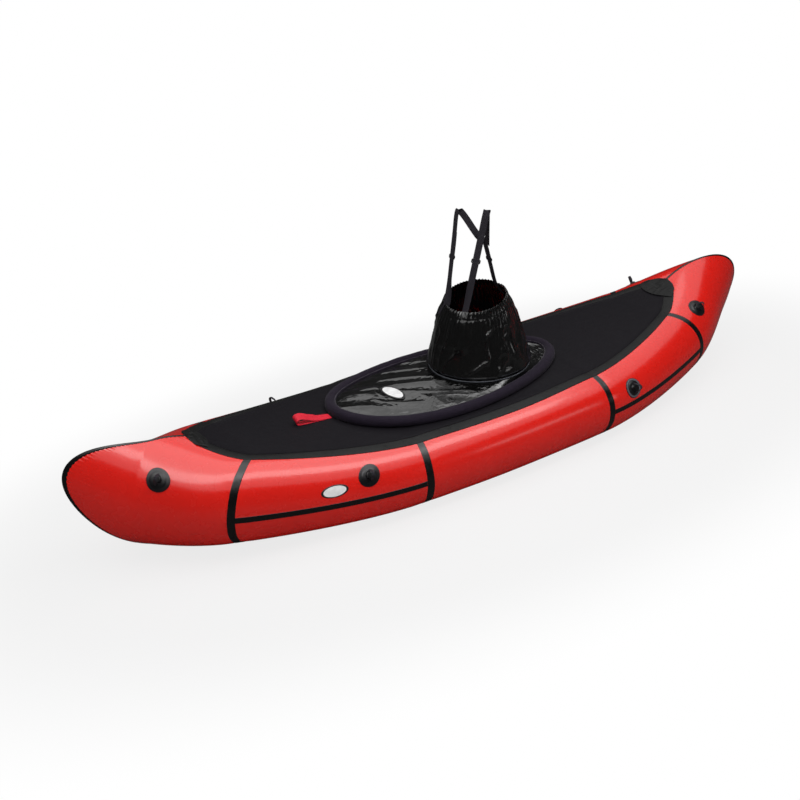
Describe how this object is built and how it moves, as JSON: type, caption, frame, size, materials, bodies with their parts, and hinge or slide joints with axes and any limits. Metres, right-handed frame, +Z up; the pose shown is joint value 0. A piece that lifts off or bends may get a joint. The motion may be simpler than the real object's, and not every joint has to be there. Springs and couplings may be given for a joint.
{
  "type": "packraft",
  "caption": "Inflatable packraft: bent side tubes with pointed ends, a welded spray deck, and a removable spray skirt with a body sleeve and shoulder braces.",
  "frame": {"origin": "on the keel plane, under the middle of the overall box, at the floor's flat underside", "axes": "+X to the bow, +Y to port, +Z up"},
  "size_m": [2.9293, 0.7942, 0.881],
  "materials": {
    "red_hull_cloth": "glossy urethane-coated nylon",
    "black_seam_tape": "satin coated tape",
    "black_deck_cloth": "matte coated nylon",
    "weld_band_film": "glossy welded film",
    "wet_black_skirt_cloth": "wet-look coated nylon",
    "rim_foam": "matte brushed knit over foam",
    "black_webbing": "woven webbing",
    "black_plastic": "moulded, satin",
    "moulded_rubber": "moulded, satin",
    "red_tab_webbing": "woven webbing",
    "floor_cloth": "heavy coated nylon",
    "seat_cloth": "coated nylon"
  },
  "bodies": {
    "hull": {"bow_seam_tape": "black_seam_tape", "coaming": "black_plastic", "deck": "black_deck_cloth", "floor_sheet": "floor_cloth", "port_aft_pad": "moulded_rubber", "port_aft_ring_tape": "black_seam_tape", "port_aft_side_tape": "black_seam_tape", "port_aft_tube": "red_hull_cloth", "port_bow_nose": "red_hull_cloth", "port_bow_pad": "moulded_rubber", "port_bow_ring_tape": "black_seam_tape", "port_forward_pad": "moulded_rubber", "port_forward_ring_tape": "black_seam_tape", "port_forward_side_tape": "black_seam_tape", "port_forward_tube": "red_hull_cloth", "port_mid_tube": "red_hull_cloth", "port_stern_nose": "red_hull_cloth", "port_stern_pad": "moulded_rubber", "port_stern_ring_tape": "black_seam_tape", "port_weld_band": "weld_band_film", "seat_cushion": "seat_cloth", "starboard_aft_pad": "moulded_rubber", "starboard_aft_ring_tape": "black_seam_tape", "starboard_aft_side_tape": "black_seam_tape", "starboard_aft_tube": "red_hull_cloth", "starboard_bow_nose": "red_hull_cloth", "starboard_bow_pad": "moulded_rubber", "starboard_bow_ring_tape": "black_seam_tape", "starboard_forward_pad": "moulded_rubber", "starboard_forward_ring_tape": "black_seam_tape", "starboard_forward_side_tape": "black_seam_tape", "starboard_forward_tube": "red_hull_cloth", "starboard_mid_tube": "red_hull_cloth", "starboard_stern_nose": "red_hull_cloth", "starboard_stern_pad": "moulded_rubber", "starboard_stern_ring_tape": "black_seam_tape", "starboard_weld_band": "weld_band_film", "stern_seam_tape": "black_seam_tape", "valve_base": "moulded_rubber"},
    "skirt": {"skirt_rim": "rim_foam", "skirt_deck": "wet_black_skirt_cloth", "body_tunnel": "wet_black_skirt_cloth", "port_front_brace": "black_webbing", "starboard_front_brace": "black_webbing", "back_brace": "black_webbing"},
    "port_brace_slider": {"port_brace_slider": "black_plastic"},
    "starboard_brace_slider": {"starboard_brace_slider": "black_plastic"},
    "back_brace_slider": {"back_brace_slider": "black_plastic"},
    "pull_tab": {"pull_tab": "red_tab_webbing"},
    "valve_cap": {"valve_cap": "black_plastic"},
    "backrest": {"backrest_cushion": "seat_cloth"},
    "port_bow_loop": {"port_bow_loop": "black_webbing"},
    "port_forward_loop": {"port_forward_loop": "black_webbing"},
    "port_aft_loop": {"port_aft_loop": "black_webbing"},
    "port_stern_loop": {"port_stern_loop": "black_webbing"},
    "starboard_bow_loop": {"starboard_bow_loop": "black_webbing"},
    "starboard_forward_loop": {"starboard_forward_loop": "black_webbing"},
    "starboard_aft_loop": {"starboard_aft_loop": "black_webbing"},
    "starboard_stern_loop": {"starboard_stern_loop": "black_webbing"}
  },
  "joints": [
    {"name": "skirt_lift_off", "type": "slide", "parent": "hull", "child": "skirt", "axis": [0, 0, 1], "range_m": [0, 0.06]},
    {"name": "port_brace_adjust", "type": "slide", "parent": "skirt", "child": "port_brace_slider", "axis": [-0.2748, 0.0265, 0.9611], "range_m": [-0.025, 0.025]},
    {"name": "starboard_brace_adjust", "type": "slide", "parent": "skirt", "child": "starboard_brace_slider", "axis": [-0.1965, -0.0283, 0.9801], "range_m": [-0.025, 0.025]},
    {"name": "back_brace_adjust", "type": "slide", "parent": "skirt", "child": "back_brace_slider", "axis": [0.2585, 0, 0.966], "range_m": [-0.02, 0.02]},
    {"name": "pull_tab_lift", "type": "hinge", "parent": "skirt", "child": "pull_tab", "pos_m": [0.53585, 0, 0.28689], "axis": [0, -1, 0], "range_deg": [0, 80]},
    {"name": "port_bow_loop_swing", "type": "hinge", "parent": "hull", "child": "port_bow_loop", "pos_m": [1.21103, 0.11168, 0.32731], "axis": [-0.5721, -0.3151, 0.7573], "range_deg": [-80, 80]},
    {"name": "port_forward_loop_swing", "type": "hinge", "parent": "hull", "child": "port_forward_loop", "pos_m": [0.59043, 0.33368, 0.21624], "axis": [-0.1384, -0.5329, 0.8348], "range_deg": [-80, 80]},
    {"name": "port_aft_loop_swing", "type": "hinge", "parent": "hull", "child": "port_aft_loop", "pos_m": [-0.53887, 0.36484, 0.18774], "axis": [0.1051, -0.3965, 0.912], "range_deg": [-80, 80]},
    {"name": "port_stern_loop_swing", "type": "hinge", "parent": "hull", "child": "port_stern_loop", "pos_m": [-1.04958, 0.18474, 0.31892], "axis": [0.5367, -0.5892, 0.604], "range_deg": [-80, 80]},
    {"name": "starboard_bow_loop_swing", "type": "hinge", "parent": "hull", "child": "starboard_bow_loop", "pos_m": [1.21103, -0.11168, 0.32731], "axis": [-0.5721, 0.3151, 0.7573], "range_deg": [-80, 80]},
    {"name": "starboard_forward_loop_swing", "type": "hinge", "parent": "hull", "child": "starboard_forward_loop", "pos_m": [0.59043, -0.33368, 0.21624], "axis": [-0.1384, 0.5329, 0.8348], "range_deg": [-80, 80]},
    {"name": "starboard_aft_loop_swing", "type": "hinge", "parent": "hull", "child": "starboard_aft_loop", "pos_m": [-0.53887, -0.36484, 0.18774], "axis": [0.1051, 0.3965, 0.912], "range_deg": [-80, 80]},
    {"name": "starboard_stern_loop_swing", "type": "hinge", "parent": "hull", "child": "starboard_stern_loop", "pos_m": [-1.04958, -0.18474, 0.31892], "axis": [0.5367, 0.5892, 0.604], "range_deg": [-80, 80]},
    {"name": "valve_cap_flip", "type": "hinge", "parent": "hull", "child": "valve_cap", "pos_m": [-0.74626, -0.30187, 0.25061], "axis": [-0.9667, 0.2332, 0.1051], "range_deg": [0, 160]},
    {"name": "backrest_recline", "type": "hinge", "parent": "hull", "child": "backrest", "pos_m": [-0.331, 0, 0.0326], "axis": [0, 1, 0], "range_deg": [-15, 10]}
  ]
}
